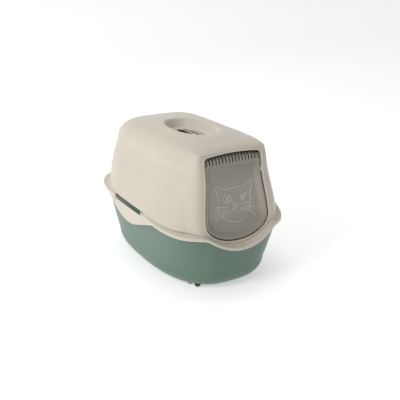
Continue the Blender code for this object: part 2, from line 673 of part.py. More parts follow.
def make_flap(home, tools, hood):
    bm = bmesh.new()
    rings = flap_rings()
    add_loft(bm, rings)
    bm.verts.ensure_lookup_table()
    last = [bm.verts[len(rings[0]) * (len(rings) - 1) + i] for i in range(len(rings[0]))]
    bm.faces.new(last)
    bmesh.ops.recalc_face_normals(bm, faces=bm.faces)
    front = max(bm.faces, key=lambda face: face.calc_area())
    if front.normal.y > 0:
        bmesh.ops.reverse_faces(bm, faces=bm.faces)
    flap = add_object("door_flap", bm, home, "smoke_grey")
    thicken(flap, FLAP_THICKNESS)

    roll = bmesh.new()
    rows = [[roll.verts.new(p) for p in row] for row in barrel_rows()]
    for lower, upper in zip(rows, rows[1:]):
        roll.faces.new((lower[0], lower[1], upper[1], upper[0]))
    barrel = add_tool("flap_barrel", roll, tools)
    thicken(barrel, FLAP_THICKNESS)
    combine(flap, barrel, "UNION")

    ends = bmesh.new()
    half = DOOR_TOP_HALF - DOOR_GAP
    for side in (-1, 1):
        add_rod(ends, (side * (half - CHEEK / 2 - CHEEK_INSET), 0, 0), (1, 0, 0),
                BARREL_RADIUS - FLAP_THICKNESS / 2, CHEEK, sides=32)
        add_rod(ends, (side * (half + PIN_REACH / 2 - CHEEK / 2), 0, 0), (1, 0, 0),
                PIN_RADIUS, PIN_REACH + CHEEK / 2)
    cheeks = add_tool("flap_cheeks_and_pins", ends, tools)
    combine(flap, cheeks, "UNION", overlapping=True)

    comb = bmesh.new()
    for i in range(COMB_SLOTS):
        x = (i - (COMB_SLOTS - 1) / 2) * COMB_PITCH
        add_box(comb, (x - COMB_SLOT_WIDTH / 2, -2 * BARREL_RADIUS, BARREL_RADIUS * COMB_LOW),
                (x + COMB_SLOT_WIDTH / 2, -BARREL_RADIUS * COMB_REAR, BARREL_RADIUS * COMB_HIGH))
    combine(flap, add_tool("flap_comb", comb, tools), "DIFFERENCE")

    flap.matrix_world = HINGE_PLACE
    flap.parent = hood
    for tool in (barrel, cheeks, tools.objects["flap_comb"]):
        tool.matrix_world = HINGE_PLACE
    return flap


# ---------------------------------------------------------------- latches
def latch_sheet(side):
    """Outer face of the half-moon plate with its two arms, round the hinge axis."""
    bm = bmesh.new()
    tab_top = FOOT_LEVEL - LATCH_SLOT - LATCH_AXIS_Z
    inner = LATCH_HALF - LATCH_ARM
    places = [-LATCH_HALF] + list(np.linspace(-inner, inner, 13)) + [LATCH_HALF]
    columns = []
    for y in places:
        x = side * (latch_face(y + LATCH_CENTRE) - LATCH_AXIS_X)
        low = skirt_edge(RIM.half_width, y + LATCH_CENTRE) - LATCH_AXIS_Z
        columns.append([bm.verts.new((x, y, z)) for z in (low, (low + tab_top) / 2, tab_top)])
    for column in columns[:2] + columns[-2:]:
        corner = column[-1].co
        column.append(bm.verts.new((corner.x, corner.y, 0)))
    for near, far in zip(columns, columns[1:]):
        for low, high in zip(range(3), range(1, 4)):
            if high < min(len(near), len(far)):
                bm.faces.new((near[low], far[low], far[high], near[high])[::side])
    return bm


def make_latch(name, side, home, tools, hood):
    latch = add_object(name, latch_sheet(side), home, "cappuccino")
    thicken(latch, LATCH_THICKNESS)
    knuckles = bmesh.new()
    for end in (-1, 1):
        y = end * (LATCH_HALF - LATCH_ARM / 2)
        add_rod(knuckles, (0, y, 0), (0, 1, 0), KNUCKLE_RADIUS, LATCH_ARM - 2 * KNUCKLE_SIDE, sides=16)
        pin = LATCH_PIN_REACH + LATCH_ARM / 2
        add_rod(knuckles, (0, end * (LATCH_HALF + LATCH_PIN_REACH - pin / 2), 0), (0, 1, 0),
                LATCH_PIN_RADIUS, pin, sides=12)
    helper = add_tool(f"{name}_knuckles", knuckles, tools)
    combine(latch, helper, "UNION", overlapping=True)
    place = Matrix.Translation((side * LATCH_AXIS_X, LATCH_CENTRE, LATCH_AXIS_Z))
    latch.matrix_world = place
    helper.matrix_world = place
    latch.parent = hood
    return latch


# ---------------------------------------------------------------- filter
def make_filter(home, tools, hood):
    half_width = WELL_FLOOR_HALF_WIDTH - COLLAR_INSET
    half_length = WELL_FLOOR_HALF_LENGTH - COLLAR_INSET
    pad_top = FLOOR_UNDERSIDE - PAD_GAP
    pad_bottom = pad_top - PAD_THICKNESS

    bm = bmesh.new()
    pull = COLLAR_WALL + PAD_GAP
    add_loft(bm, collar_rings(half_width - pull, half_length - pull, (pad_bottom, pad_top)),
             closed_start=True, closed_end=True)
    pad = add_object("filter_pad", bm, home, "charcoal")
    pad.parent = hood

    grow = HOLDER_GAP + HOLDER_WALL
    floor_top = FLOOR_UNDERSIDE - COLLAR_DEPTH - HOLDER_GAP
    floor_bottom = floor_top - HOLDER_WALL
    top = floor_top + HOLDER_RIM * COLLAR_DEPTH
    bm = bmesh.new()
    outer = collar_rings(half_width + grow, half_length + grow, (floor_bottom, top))
    inner = collar_rings(half_width + HOLDER_GAP, half_length + HOLDER_GAP, (top, floor_top))
    add_loft(bm, outer + inner, closed_start=True, closed_end=True)
    holder = add_object("filter_holder", bm, home, "cappuccino")
    slots = bmesh.new()
    pitch = 2 * (half_width - COLLAR_WALL) / HOLDER_SLOTS
    for i in range(HOLDER_SLOTS):
        x = (i - (HOLDER_SLOTS - 1) / 2) * pitch
        oval = (1 - (abs(x) / half_width) ** WELL_CORNER) ** (1 / WELL_CORNER)
        reach = half_length * HOLDER_SLOT_LONG * oval
        add_box(slots, (x - HOLDER_SLOT_WIDTH / 2, WELL_CENTRE - reach, floor_bottom - WALL),
                (x + HOLDER_SLOT_WIDTH / 2, WELL_CENTRE + reach, floor_top + PAD_GAP))
    combine(holder, add_tool("holder_slots", slots, tools), "DIFFERENCE")
    holder.parent = hood
    return holder, pad


def main():
    clear_scene()
    pieces = collection("cat_litter_box")
    tools = collection("cutters")
    make_tray(pieces, tools)
    hood = make_hood(pieces, tools)
    make_flap(pieces, tools, hood)
    make_latch("latch_left", -1, pieces, tools, hood)
    make_latch("latch_right", 1, pieces, tools, hood)
    make_filter(pieces, tools, hood)


main()
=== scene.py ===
# %% [markdown]
# # A hooded cat litter box
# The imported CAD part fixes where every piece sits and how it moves. This lesson builds finer surfaces
# over it: a moulded tray, a tapered hood with a handle well, a smoked swing door with a comb along its
# hinge, two half-moon latches and the filter. Lengths are in metres, the door looks towards -Y.

# %% Load the frame
import json
import math

import bmesh
import bpy
import numpy as np
from mathutils import Matrix, Vector


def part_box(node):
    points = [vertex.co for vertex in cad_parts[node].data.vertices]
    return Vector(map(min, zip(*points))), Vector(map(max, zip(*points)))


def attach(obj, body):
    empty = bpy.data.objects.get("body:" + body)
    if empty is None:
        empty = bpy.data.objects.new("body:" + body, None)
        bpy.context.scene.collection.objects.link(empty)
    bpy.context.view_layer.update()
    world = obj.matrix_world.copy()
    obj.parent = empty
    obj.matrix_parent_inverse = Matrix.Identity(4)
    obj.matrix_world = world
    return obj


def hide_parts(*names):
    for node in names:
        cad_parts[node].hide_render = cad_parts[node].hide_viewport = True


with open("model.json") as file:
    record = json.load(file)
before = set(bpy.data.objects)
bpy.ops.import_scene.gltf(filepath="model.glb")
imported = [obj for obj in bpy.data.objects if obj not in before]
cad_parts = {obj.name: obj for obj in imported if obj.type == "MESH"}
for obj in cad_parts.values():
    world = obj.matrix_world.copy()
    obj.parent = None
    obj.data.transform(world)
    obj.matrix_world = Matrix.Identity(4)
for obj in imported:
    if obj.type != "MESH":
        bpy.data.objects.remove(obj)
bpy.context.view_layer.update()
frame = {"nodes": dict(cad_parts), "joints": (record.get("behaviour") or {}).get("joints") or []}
hood_low, hood_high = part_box("hood")
joints = {j["name"]: j for j in frame["joints"]}
hinge = Vector(joints["door_swing"]["pos_m"])

# %% [markdown]
# ## Sizes
# The overall sizes come from the frame, the rest are the sizes of the moulding: how the rim falls
# towards the door, how far each wall tapers and how the roof is rounded.

# %% Sizes of the moulding
LATCH_INSET = 0.0004
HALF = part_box("latch_right")[1].x + LATCH_INSET
FRONT, REAR, TOP = hood_low.y, hood_high.y, hood_high.z
RIM_LEVEL, RIM_CORNER = 0.186, 3.28
FILLET_HIGH, FILLET_WIDE, CROWN = 0.0561, 0.0539, 0.0071
FRONT_FALL, DIP, DIP_HALF = 0.0214, 0.0413, 0.1035
APRON, APRON_HALF, LATCH_Y, LATCH_HALF = 0.045, 0.140, -0.008, 0.085
FOOT_LEVEL, ROOF_EDGE = 0.1985, TOP - CROWN - FILLET_HIGH
RIM = (HALF, FRONT, REAR, RIM_CORNER, RIM_CORNER)
FOOT = (HALF - 0.005, FRONT + 0.0261, REAR - 0.0361, 3.12, 2.91)
ROOF = (FOOT[0] - 0.0493, FOOT[1] + 0.0313, FOOT[2] - 0.0263, 3.96, 4.98)
WALL = 0.0025
LEAN = math.radians(10.87)
SILL, DOOR_DROP = 0.143, 0.0232
DOOR_TALL = (TOP - DOOR_DROP - SILL) / math.cos(LEAN)
PLANE_Y = FOOT[1] + 0.0048 - (FOOT_LEVEL - SILL) * math.tan(LEAN)
DOOR_TOP, DOOR_WIDE, WIDE_RISE, ARCH = 0.0857, 0.0973, 0.0551, 0.0064
DOOR_CORNER, WAIST_RUN = 0.012, 0.74
LAND_MARGIN, LAND_FADE = 0.008, 0.036
DOOR = Matrix.Translation((0, PLANE_Y, SILL)) @ Matrix.Rotation(-LEAN, 4, "X")
WELL_Y, WELL_HALF, WELL_LONG, WELL_CORNER = -0.021, 0.062, 0.105, 2.3
WELL_DEEP, WELL_SLOPE, WELL_DISH = 0.024, 0.022, 0.003
print("door", round(DOOR_TALL, 4), "tall, plane at", round(PLANE_Y, 4))

# %% [markdown]
# ## Small tools
# Every surface here is a grid of points: rows that run round the box, stacked from the rim to the
# roof. The helpers below turn such a grid into a mesh, give it thickness, and cut holes in it.

# %% Helpers for meshes


def mesh_object(name, verts, faces, smooth=40):
    mesh = bpy.data.meshes.new(name)
    mesh.from_pydata([tuple(v) for v in verts], [], faces)
    mesh.update()
    made = bpy.data.objects.new(name, mesh)
    bpy.context.scene.collection.objects.link(made)
    if smooth:
        mesh.shade_smooth()
        mesh.set_sharp_from_angle(angle=math.radians(smooth))
    return made


def skin(rows, close_start=False, close_end=False, loop=True):
    """Vertices and faces of a grid whose rows are closed rings."""
    count = len(rows[0])
    verts = [tuple(p) for row in rows for p in row]
    faces = []
    for r in range(len(rows) - 1):
        for i in range(count if loop else count - 1):
            j = (i + 1) % count
            a, b = r * count, (r + 1) * count
            faces.append((a + i, a + j, b + j, b + i))
    for wanted, row, turned in ((close_start, 0, True), (close_end, len(rows) - 1, False)):
        if wanted:
            middle = len(verts)
            verts.append(tuple(np.mean(np.array(rows[row]), axis=0)))
            base = row * count
            for i in range(count):
                j = (i + 1) % count
                faces.append((middle, base + j, base + i) if turned else (middle, base + i, base + j))
    return verts, faces


def settle(obj):
    """Apply an object's modifiers and keep it as a plain mesh."""
    graph = bpy.context.evaluated_depsgraph_get()
    mesh = bpy.data.meshes.new_from_object(obj.evaluated_get(graph))
    obj.modifiers.clear()
    obj.data = mesh
    return obj


def solidify(obj, thickness, offset=-1):
    step = obj.modifiers.new("wall", "SOLIDIFY")
    step.thickness, step.offset, step.use_even_offset = thickness, offset, True


def boolean(obj, tool, operation="DIFFERENCE"):
    step = obj.modifiers.new("cut", "BOOLEAN")
    step.operation, step.solver, step.object = operation, "MANIFOLD", tool
    settle(obj)
    bpy.data.objects.remove(tool)


def join(name, parts):
    """Merge finished parts into one object at the origin."""
    bm = bmesh.new()
    for part in parts:
        mesh = part.data.copy()
        mesh.transform(part.matrix_world)
        bm.from_mesh(mesh)
        bpy.data.meshes.remove(mesh)
        bpy.data.objects.remove(part)
    mesh = bpy.data.meshes.new(name)
    bm.to_mesh(mesh)
    bm.free()
    made = bpy.data.objects.new(name, mesh)
    bpy.context.scene.collection.objects.link(made)
    return made


def finish_shading(obj, angle=38):
    obj.data.shade_smooth()
    obj.data.set_sharp_from_angle(angle=math.radians(angle))
    return obj


def prism(name, outline, along):
    """A closed outline of points pushed along a vector."""
    bm = bmesh.new()
    start = [bm.verts.new(p) for p in outline]
    end = [bm.verts.new(Vector(p) + Vector(along)) for p in outline]
    faces = [bm.faces.new(start), bm.faces.new(end)]
    for i in range(len(start)):
        j = (i + 1) % len(start)
        faces.append(bm.faces.new((start[i], start[j], end[j], end[i])))
    bmesh.ops.recalc_face_normals(bm, faces=faces)
    mesh = bpy.data.meshes.new(name)
    bm.to_mesh(mesh)
    bm.free()
    made = bpy.data.objects.new(name, mesh)
    bpy.context.scene.collection.objects.link(made)
    return made


def bead(name, points, radius, closed=False, flat=1.0, place=Matrix.Identity(4), sides=8):
    """A rounded line of plastic along points; flat squashes it in the second axis."""
    pts = np.array(points, float)
    count = len(pts)
    rows = []
    for i, p in enumerate(pts):
        before = pts[i - 1] if i or closed else pts[0]
        after = pts[(i + 1) % count] if i + 1 < count or closed else pts[-1]
        along = Vector(after - before).normalized()
        side = along.cross(Vector((0, 1, 0))).normalized()
        size = radius if closed or 0 < i < count - 1 else radius * 0.35
        lift = Vector((0, 1, 0)) * (size * flat)
        rows.append([place @ (Vector(p) + side * (size * math.cos(t)) + lift * math.sin(t))
                     for t in np.linspace(0, 2 * math.pi, sides, endpoint=False)])
    if closed:
        rows.append(rows[0])
    verts, faces = skin(rows, not closed, not closed)
    made = mesh_object(name, verts, faces)
    bm = bmesh.new()
    bm.from_mesh(made.data)
    bmesh.ops.remove_doubles(bm, verts=bm.verts, dist=1e-7)
    bmesh.ops.recalc_face_normals(bm, faces=bm.faces)
    bm.to_mesh(made.data)
    bm.free()
    return made


print("helpers ready")

# %% [markdown]
# ## The plan of the box
# Each horizontal section is a rounded rectangle given by |x/a|^n + |y/b|^n = 1. A larger n squares
# the corners, and the front half and the rear half have their own n. The rim falls gently towards
# the door and swoops down in a U under it, and a half-moon apron hangs down at each latch.

# %% Curves of the box


def ease(share):
    share = np.clip(share, 0, 1)
    return share * share * (3 - 2 * share)


def power(value, exponent):
    return np.sign(value) * np.abs(value) ** exponent


def section(angle, plan):
    """X and Y round a section; angle 0 is the front, growing towards +X."""
    half, front, rear, corner_front, corner_rear = plan
    c, s = np.cos(angle), np.sin(angle)
    n = np.where(c > 0, corner_front, corner_rear)
    return half * power(s, 2 / n), (front + rear) / 2 - (rear - front) / 2 * power(c, 2 / n)


def blend(plan_a, plan_b, share):
    return tuple(a + (b - a) * share for a, b in zip(plan_a, plan_b))


def grown(plan, side, front, rear):
    return (plan[0] + side, plan[1] - front, plan[2] + rear, plan[3], plan[4])


def drop(x, y):
    hump = 1 - (x / DIP_HALF) ** 2
    dip = DIP * (hump + np.hypot(hump, 0.12)) / 2 * (np.abs(x) < 2 * DIP_HALF) * (y < 0)
    return FRONT_FALL * ease((-y - 0.056) / 0.20) + dip * ease(-y / 0.20)


def apron(x, y):
    share = np.minimum(np.abs(y - LATCH_Y) / APRON_HALF, 1)
    depth = APRON * np.clip(np.cos(share * math.pi / 2), 0, 1) ** 1.2
    return depth * ease((np.abs(x) - 0.6 * HALF) / (0.25 * HALF))


def even_angles(count, extra=()):
    """Angles evenly spaced round the rim, with more of them where a fine detail needs it."""
    fine = np.linspace(0, 2 * math.pi, 2881)
    x, y = section(fine, RIM)
    run = np.concatenate(([0], np.cumsum(np.hypot(np.diff(x), np.diff(y)))))
    angles = list(np.interp(np.linspace(0, run[-1], count, endpoint=False), run, fine))
    for y0, y1, number in extra:
        for half in (slice(0, 1441), slice(1440, 2881)):
            order = np.argsort(y[half])
            angles += list(np.interp(np.linspace(y0, y1, number), y[half][order], fine[half][order]))
    angles = np.array(sorted(set(np.round(angles, 7))))
    keep = np.concatenate(([True], np.diff(angles) > 1e-4))
    return angles[keep]


ANGLES = even_angles(216, [(-0.258, -0.205, 34)])
print(len(ANGLES), "points round each ring")


def door_half(height, margin=0.0):
    """Half width of the door opening at a height above its lowest point."""
    height = np.asarray(height, float)
    down = np.clip((WIDE_RISE - height) / (WIDE_RISE - margin), 0, 1)
    bottom = (DOOR_WIDE - margin) * np.sqrt(1 - down ** 2)
    share = np.clip((height - WIDE_RISE) / ((DOOR_TALL - ARCH - WIDE_RISE) * WAIST_RUN), 0, 1)
    upper = DOOR_WIDE - margin + (DOOR_TOP - DOOR_WIDE) * (1 - np.cos(math.pi * share)) / 2
    return np.where(height < WIDE_RISE, bottom, upper)


def door_outline(margin, top, arch, corner, fine=4):
    """Outline (x, height) of the opening, or of what fits in it, starting at the bottom."""
    turns = np.linspace(0, math.pi / 2, 8 * fine + 1)
    half = [((DOOR_WIDE - margin) * math.sin(t), WIDE_RISE - (WIDE_RISE - margin) * math.cos(t))
            for t in turns]
    inner = DOOR_TOP - margin - corner
    side_top = top - arch * (inner / DOOR_TOP) ** 2 - corner
    for h in np.linspace(WIDE_RISE, side_top, 6 * fine + 1)[1:]:
        half.append((float(door_half(h, margin)), h))
    for t in np.linspace(0, math.pi / 2, 2 * fine + 1)[1:]:
        half.append((inner + corner * math.cos(t), side_top + corner * math.sin(t)))
    for share in np.linspace(1, 0, 2 * fine + 1)[1:-1]:
        half.append((inner * share, top - arch * (inner * share / DOOR_TOP) ** 2))
    return half + [(0.0, top)] + [(-x, h) for x, h in reversed(half[1:])]


def on_door(x, depth, height):
    return DOOR @ Vector((x, depth, height))


# %% [markdown]
# ## The hood
# The hood is one open surface from the rim's lower edge to the middle of the handle well. The rim
# steps up in a skirt, a ledge and a groove. The wall tapers, carries a shallow moulded panel line on
# each side, and is pulled onto the flat plane of the door at the front.

# %% Rows of the hood


PANEL_FRONT, PANEL_TOP, PANEL_ROUND = -0.197, 0.300, 0.02
PANEL_SUNK, PANEL_EDGE = 0.0012, 0.0024


def panel_step(x, y, z):
    """The sunk side panel, about a millimetre deep, with a rounded upper front corner."""
    dy, dz = PANEL_FRONT + PANEL_ROUND - y, z - (PANEL_TOP - PANEL_ROUND)
    corner = np.hypot(np.maximum(dy, 0), np.maximum(dz, 0)) - PANEL_ROUND
    edge = np.where((dy > 0) | (dz > 0), corner, -PANEL_ROUND)
    sunk = 1 - ease((edge + PANEL_EDGE / 2) / PANEL_EDGE)
    fade = ease((z - 0.205) / 0.03) * ease((0.16 - y) / 0.08) * (np.abs(x) > 0.5 * HALF)
    return PANEL_SUNK * sunk * fade


def hood_plan(z):
    share = min((z - FOOT_LEVEL) / (ROOF_EDGE - FOOT_LEVEL), 1)
    bulge = 0.0018 * math.sin(math.pi * min(max(share, 0), 1))
    roll = math.asin(min(max((z - ROOF_EDGE) / FILLET_HIGH, 0), 1))
    pull = bulge - FILLET_WIDE * (1 - math.cos(roll))
    return grown(blend(FOOT, ROOF, share), pull, pull, pull)


def door_land(x, y, z):
    """Pull the front of the wall onto the plane of the door."""
    height = (z - SILL) / math.cos(LEAN)
    width = np.maximum(door_half(np.maximum(height, WIDE_RISE)), DOOR_TOP)
    share = ease((width + LAND_MARGIN + LAND_FADE - np.abs(x)) / LAND_FADE)
    share = share * ease((TOP - CROWN - z) / (DOOR_DROP - CROWN - LAND_MARGIN / 2)) * (y < 0)
    return y + (PLANE_Y + (z - SILL) * math.tan(LEAN) - y) * share


def wall_ring(z):
    """One ring of the wall; z is a number per point."""
    x, y = np.empty_like(z), np.empty_like(z)
    for i, (angle, level) in enumerate(zip(ANGLES, z)):
        x[i], y[i] = section(angle, hood_plan(level))
    y = door_land(x, y, z)
    x = x - np.sign(x) * panel_step(x, y, z)
    return np.stack([x, y, z], axis=1)


def hood_rows():
    rim_x, rim_y = section(ANGLES, RIM)
    level = RIM_LEVEL - drop(rim_x, rim_y)
    bottom, brow = level - apron(rim_x, rim_y), level + 0.0064
    rows = [np.stack([rim_x, rim_y, bottom + (brow - bottom) * share], 1) for share in np.linspace(0, 1, 6)]
    profile = ((0.02, 0.0074), (0.06, 0.0080), (0.3, 0.0088), (0.42, 0.0091), (0.46, 0.0084), (0.54, 0.0084),
               (0.60, 0.0100), (0.80, 0.0112), (0.93, 0.0119), (1.0, 0.0127))
    foot_x, foot_y = section(ANGLES, FOOT)
    foot_drop = drop(foot_x, foot_y)
    foot_y = door_land(foot_x, foot_y, FOOT_LEVEL - foot_drop)
    for share, rise in profile:
        x, y = rim_x + (foot_x - rim_x) * share, rim_y + (foot_y - rim_y) * share
        base = level + (RIM_LEVEL - foot_drop - level) * share
        rows.append(np.stack([x, y, base + rise], 1))
    foot = FOOT_LEVEL - foot_drop
    shares = list(np.linspace(0.012, 0.74, 16)) + list(np.linspace(0.765, 0.82, 7)) + [0.86, 0.93, 1.0]
    for share in shares:
        rows.append(wall_ring(foot + (ROOF_EDGE - foot) * share))
    for turn in np.linspace(0, math.pi / 2, 15)[1:]:
        rows.append(wall_ring(np.full(len(ANGLES), ROOF_EDGE + FILLET_HIGH * math.sin(turn) - 1e-9)))
    return rows


def well_ring(pull, level):
    plan = (WELL_HALF - pull, WELL_Y - WELL_LONG + pull, WELL_Y + WELL_LONG - pull,
            WELL_CORNER, WELL_CORNER)
    x, y = section(ANGLES, plan)
    return np.stack([x, y, np.full(len(x), level)], 1)


def roof_rows(last):
    rows = []
    brim = well_ring(0, TOP)
    for share in np.linspace(0, 1, 11)[1:]:
        ring = last + (brim - last) * share
        ring[:, 2] = TOP - CROWN * (1 - share) ** 2
        rows.append(ring)
    for share in np.linspace(0, 1, 15)[1:]:
        rows.append(well_ring(WELL_SLOPE * share, TOP - WELL_DEEP * (1 - math.cos(math.pi * share)) / 2))
    floor = TOP - WELL_DEEP
    for share in (0.12, 0.3, 0.6, 0.85):
        rows.append(well_ring(WELL_SLOPE + (WELL_HALF - WELL_SLOPE) * share,
                              floor - WELL_DISH * math.sin(share * math.pi / 2)))
    return rows


rows = hood_rows()
rows += roof_rows(rows[-1])
hood = mesh_object("hood_shell", *skin(rows, close_end=True))
solidify(hood, WALL)
settle(hood)
print("hood rows", len(rows), "faces", len(hood.data.polygons))

# %% [markdown]
# ## Openings of the hood
# The doorway, the two latch cut-outs and the vent slots go through the wall. The slots in the well's
# floor run lengthwise and bend with the oval, the middle one is the widest.

# %% Cut the openings
outline = door_outline(0, DOOR_TALL, ARCH, DOOR_CORNER)
boolean(hood, prism("doorway", [on_door(x, -0.03, h) for x, h in outline],
                    DOOR.to_3x3() @ Vector((0, 0.055, 0))))


def foot_level(y):
    return FOOT_LEVEL - float(drop(FOOT[0], y))


def rim_side(y):
    return HALF * (1 - abs(y / REAR) ** RIM_CORNER) ** (1 / RIM_CORNER)


reach = LATCH_HALF + 0.0015
for side in (-1, 1):
    edge = [(LATCH_Y - reach, 0.09), (LATCH_Y + reach, 0.09)]
    edge += [(y, foot_level(y) - 0.0012) for y in np.linspace(LATCH_Y + reach, LATCH_Y - reach, 8)]
    boolean(hood, prism("latch_cut", [(side * 0.178, y, z) for y, z in edge], (side * 0.03, 0, 0)))


SLOT_CUT, SLOT_BEND = 0.04, 0.9


def slot_outline(centre, half, long, bend):
    """A slot with rounded ends whose sides bend with the oval."""
    points = []
    for direction in (1, -1):
        for y in np.linspace(-long, long, 15) * direction:
            squeeze = 1 - bend * (y / WELL_LONG) ** 2
            round_end = min(1, math.sqrt(max(0.0, (long - abs(y)) / half)) + 0.35)
            points.append((centre * squeeze + direction * half * round_end, WELL_Y + y,
                           TOP - WELL_DEEP - SLOT_CUT / 2))
    return points


SLOTS = [(0.0, 0.0115, 0.070)]
SLOTS += [(side * x, half, long) for side in (-1, 1)
          for x, half, long in ((0.0215, 0.0042, 0.064), (0.0320, 0.0024, 0.044))]
for centre, half, long in SLOTS:
    boolean(hood, prism("vent", slot_outline(centre, half, long, SLOT_BEND), (0, 0, SLOT_CUT)))
finish_shading(hood)
print("hood with openings", len(hood.data.polygons), "faces")

# %% [markdown]
# ## Fittings of the hood
# Inside the doorway a thin flange stiffens the edge, two sockets carry the door's pins and a nub on
# each side stops the door. A collar under the well holds the filter.

# %% Fittings of the hood
parts = [hood]
FLANGE = ((-0.0052, 0.0004), (-0.0048, -0.0010), (-0.0036, -0.0016), (-0.0012, -0.0016),
          (0.0000, -0.0008), (0.0004, 0.0008), (0.0004, 0.0050), (-0.0010, 0.0050), (-0.0022, 0.0030))
flange_rows = [[on_door(x, depth, h) for x, h in door_outline(margin, DOOR_TALL - margin, ARCH, DOOR_CORNER)]
               for margin, depth in FLANGE]
parts.append(mesh_object("flange", *skin(flange_rows + [flange_rows[0]])))
hinge_local = DOOR.inverted() @ hinge
NUB_LEVEL, COLLAR_LOW, COLLAR_HIGH = 0.313, 0.351, 0.3625
nub_height = (NUB_LEVEL - SILL) / math.cos(LEAN)
for side in (-1, 1):
    bm = bmesh.new()
    bmesh.ops.create_cube(bm, size=1)
    bmesh.ops.scale(bm, vec=(0.004, 0.024, 0.0165), verts=bm.verts)
    bmesh.ops.bevel(bm, geom=bm.edges[:], offset=0.001, segments=2, affect="EDGES")
    bmesh.ops.transform(bm, matrix=DOOR @ Matrix.Translation(
        (side * (DOOR_TOP + 0.0038), 0.0128, hinge_local.z - 0.0015)), verts=bm.verts)
    mesh = bpy.data.meshes.new("socket")
    bm.to_mesh(mesh)
    bm.free()
    parts.append(bpy.data.objects.new("socket", mesh))
    bpy.context.scene.collection.objects.link(parts[-1])
    bm = bmesh.new()
    bmesh.ops.create_uvsphere(bm, u_segments=20, v_segments=12, radius=1)
    bmesh.ops.transform(bm, matrix=DOOR @ Matrix.Translation(
        (side * (float(door_half(nub_height)) + 0.0005), 0.0035, nub_height)) @ Matrix.Diagonal(
            (0.0035, 0.0028, 0.0065, 1)), verts=bm.verts)
    mesh = bpy.data.meshes.new("nub")
    bm.to_mesh(mesh)
    bm.free()
    parts.append(bpy.data.objects.new("nub", mesh))
    bpy.context.scene.collection.objects.link(parts[-1])
collar = []
for pull, level in ((0.028, COLLAR_HIGH), (0.028, COLLAR_LOW), (0.030, COLLAR_LOW), (0.030, COLLAR_HIGH)):
    collar.append(well_ring(pull, level)[::4])
parts.append(mesh_object("collar", *skin(collar)))
hood = finish_shading(join("hood_body", parts))
print("hood pieces joined", len(hood.data.polygons), "faces")

# %% [markdown]
# ## The tray
# The tray is one open surface too: from the middle of its floor up the flared wall to a lip that
# hides inside the hood's rim. Eight small bumps moulded under it carry the box.

# %% Build the tray
TRAY_TOP = (HALF - 0.0142, FRONT + 0.0187, REAR - 0.0246, 3.78, 3.78)
TRAY_BASE = (TRAY_TOP[0] - 0.0168, TRAY_TOP[1] + 0.0118, TRAY_TOP[2] - 0.0107, 2.7, 2.7)
LIP = (HALF - 0.008, FRONT + 0.0043, REAR - 0.0043, RIM_CORNER, RIM_CORNER)
FILLET, FOOT_HIGH, LIP_RISE = 0.048, 0.004, 0.005
LUG_HALF, LUG_LOW, LUG_TOP, LUG_BEVEL = 0.073, 0.1865, 0.196, 0.0015


def tray_rows():
    rows = []
    for share in (0.3, 0.6, 0.85):
        x, y = section(ANGLES, grown(TRAY_BASE, *[-FILLET] * 3))
        rows.append(np.stack([x * share, (y + 0.0024) * share - 0.0024, np.full(len(x), FOOT_HIGH)], 1))
    for turn in np.linspace(0, math.pi / 2, 14):
        pull = -FILLET * (1 - math.sin(turn))
        x, y = section(ANGLES, grown(TRAY_BASE, pull, pull, pull))
        rows.append(np.stack([x, y, np.full(len(x), FOOT_HIGH + FILLET * (1 - math.cos(turn)))], 1))
    start = FOOT_HIGH + FILLET
    for share in np.linspace(0, 1, 16)[1:]:
        x, y = section(ANGLES, blend(TRAY_BASE, TRAY_TOP, share))
        top = RIM_LEVEL - drop(x, y) + LIP_RISE - WALL
        rows.append(np.stack([x, y, start + (top - start) * share], 1))
    x, y = section(ANGLES, LIP)
    for rise in (LIP_RISE - WALL, LIP_RISE - 0.0006, LIP_RISE):
        rows.append(np.stack([x, y, RIM_LEVEL - drop(x, y) + rise], 1))
    return rows


tray = mesh_object("tray_body", *skin(tray_rows(), close_start=True))
solidify(tray, WALL)
settle(tray)
parts = [tray]
for side in (-1, 1):
    for x, y in ((0.094, 0.178), (0.086, 0.203)):
        for end in (-1, 1):
            bm = bmesh.new()
            bmesh.ops.create_cone(bm, cap_ends=True, segments=28, radius1=0.0055, radius2=0.0085, depth=0.006)
            bmesh.ops.bevel(bm, geom=[e for e in bm.edges if all(v.co.z < 0 for v in e.verts)],
                            offset=0.0015, segments=3, affect="EDGES")
            bmesh.ops.translate(bm, vec=(side * x, end * y, 0.003), verts=bm.verts)
            mesh = bpy.data.meshes.new("foot")
            bm.to_mesh(mesh)
            bm.free()
            parts.append(bpy.data.objects.new("foot", mesh))
            bpy.context.scene.collection.objects.link(parts[-1])
    lug = rim_side(LATCH_Y - LUG_HALF) - 0.0106
    outline = [(side * lug, LATCH_Y + across, z) for across, z in (
        (-LUG_HALF, LUG_LOW), (LUG_HALF, LUG_LOW), (LUG_HALF, LUG_TOP - LUG_BEVEL),
        (LUG_HALF - LUG_BEVEL, LUG_TOP), (LUG_BEVEL - LUG_HALF, LUG_TOP), (-LUG_HALF, LUG_TOP - LUG_BEVEL))]
    parts.append(prism("lug", outline, (-side * WALL, 0, 0)))
tray = finish_shading(join("tray_body", parts))
print("tray", len(tray.data.polygons), "faces, lowest", round(min(v.co.z for v in tray.data.vertices), 5))

# %% [markdown]
# ## The latches
# Each latch is a half-moon plate that carries on the line of the rim. Two arms reach up on both
# sides of a slot to the hinge under the ledge. The plate follows the bend of the rim.

# %% Build the latches


